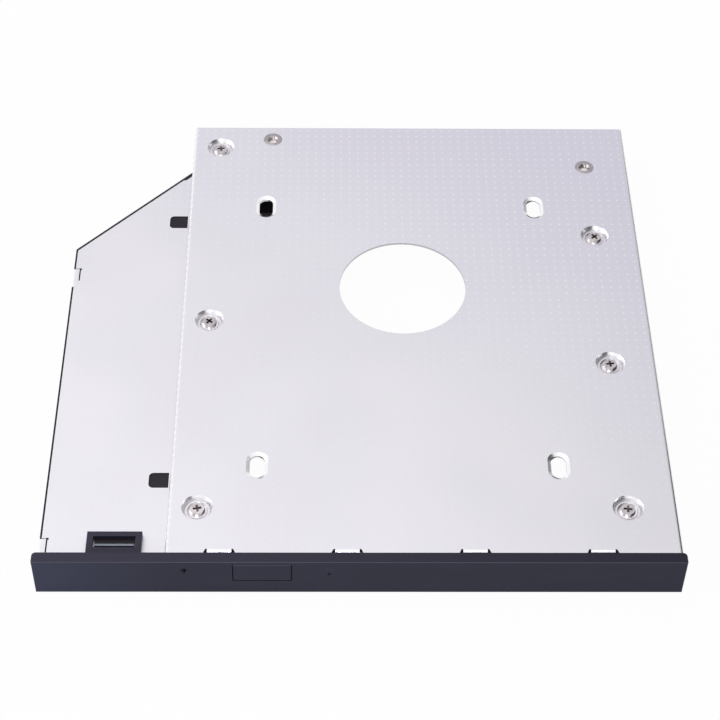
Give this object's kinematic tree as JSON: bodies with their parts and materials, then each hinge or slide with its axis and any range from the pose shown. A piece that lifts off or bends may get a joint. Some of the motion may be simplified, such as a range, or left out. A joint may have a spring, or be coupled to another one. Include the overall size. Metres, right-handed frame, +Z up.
{
  "type": "laptop drive caddy",
  "caption": "Slim tray that holds a small drive in a laptop's optical bay: folded metal base, moulded frame, clip-on bezel with a push button, rear plug and drive socket.",
  "frame": {"origin": "middle of the box's base, on the open side that the caddy rests on", "axes": "+Z up through the metal underside, -Y out of the bezel, +X to the right as seen from the bezel"},
  "size_m": [0.129, 0.1284, 0.01],
  "materials": {
    "sheet_aluminium": "satin stamped sheet",
    "black_moulding": "moulded, fine texture",
    "bezel_moulding": "moulded, satin",
    "board_laminate": "green solder mask",
    "connector_moulding": "moulded",
    "gold_contact": "gold flash",
    "tinned_metal": "tin plated",
    "capacitor_body": "ceramic",
    "resistor_body": "glazed",
    "nickel_screw": "nickel plated",
    "nickel_nut": "nickel plated"
  },
  "bodies": {
    "caddy": {"bottom_plate": "sheet_aluminium", "tray_frame": "black_moulding", "front_bezel": "bezel_moulding", "connector_board": "board_laminate", "drive_receptacle": "connector_moulding", "drive_data_contacts": "gold_contact", "drive_power_contacts": "gold_contact", "host_plug": "connector_moulding", "host_data_contacts": "gold_contact", "host_power_contacts": "gold_contact", "drive_board_locks": "tinned_metal", "host_board_locks": "tinned_metal", "board_capacitors": "capacitor_body", "board_resistors": "resistor_body", "plate_screw_left_rear": "nickel_screw", "plate_screw_left_middle": "nickel_screw", "plate_screw_left_front": "nickel_screw", "plate_screw_right_rear": "nickel_screw", "plate_screw_right_middle": "nickel_screw", "plate_screw_right_front": "nickel_screw", "board_screw_left": "nickel_screw", "board_screw_right": "nickel_screw", "bracket_nut_left": "nickel_nut", "bracket_nut_right": "nickel_nut"},
    "button": {"eject_button": "bezel_moulding"}
  },
  "joints": [
    {"name": "button_press", "type": "slide", "parent": "caddy", "child": "button", "axis": [0, 1, 0], "range_m": [0, 0.0005], "stiffness_N_per_m": 400, "springref_m": -0.0005}
  ]
}
